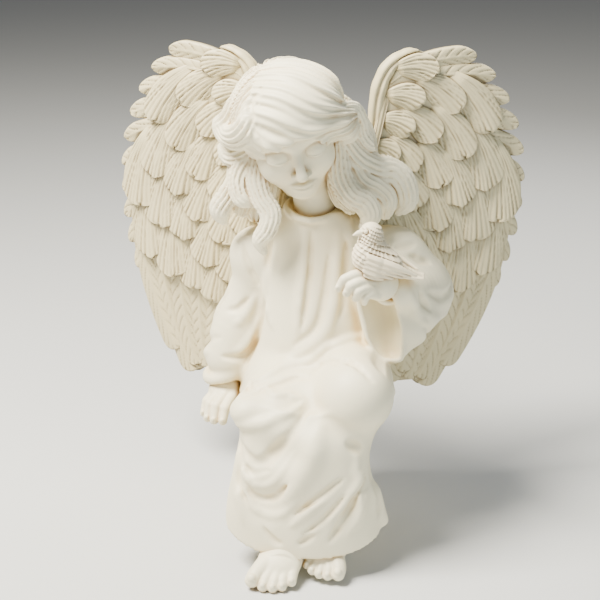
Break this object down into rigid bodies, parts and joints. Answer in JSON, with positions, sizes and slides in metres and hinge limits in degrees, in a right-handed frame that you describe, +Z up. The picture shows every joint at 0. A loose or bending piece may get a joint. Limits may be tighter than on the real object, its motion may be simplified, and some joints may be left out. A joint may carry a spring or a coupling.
{
  "type": "seated angel figurine",
  "caption": "Cast-resin seated angel for a shelf edge, with tall feathered wings, a long robe, hanging feet and a small bird on one raised hand.",
  "frame": {"origin": "centre of the flat underside of the seat, which rests on the shelf or log", "axes": "+Z up, -Y the way the angel faces, +X towards its left side"},
  "size_m": [0.2738, 0.1941, 0.3166],
  "materials": {
    "resin": "satin ivory cast resin with a faint tan wash in the hollows",
    "bird_resin": "satin ivory cast resin with a heavier tan wash",
    "steel": "plain drawn rod",
    "plug": "matt moulded plug"
  },
  "bodies": {
    "root": {"robe_body": "resin", "base_plug": "plug", "head": "resin", "neck_dowel": "steel", "left_wing": "resin", "right_wing": "resin", "left_hand": "resin", "right_hand": "resin", "left_foot": "resin", "right_foot": "resin", "bird": "bird_resin", "bird_pin": "steel", "left_wing_dowel_upper": "steel", "left_wing_dowel_lower": "steel", "right_wing_dowel_upper": "steel", "right_wing_dowel_lower": "steel", "left_wrist_dowel": "steel", "right_wrist_dowel": "steel", "left_ankle_dowel": "steel", "right_ankle_dowel": "steel"}
  },
  "joints": []
}
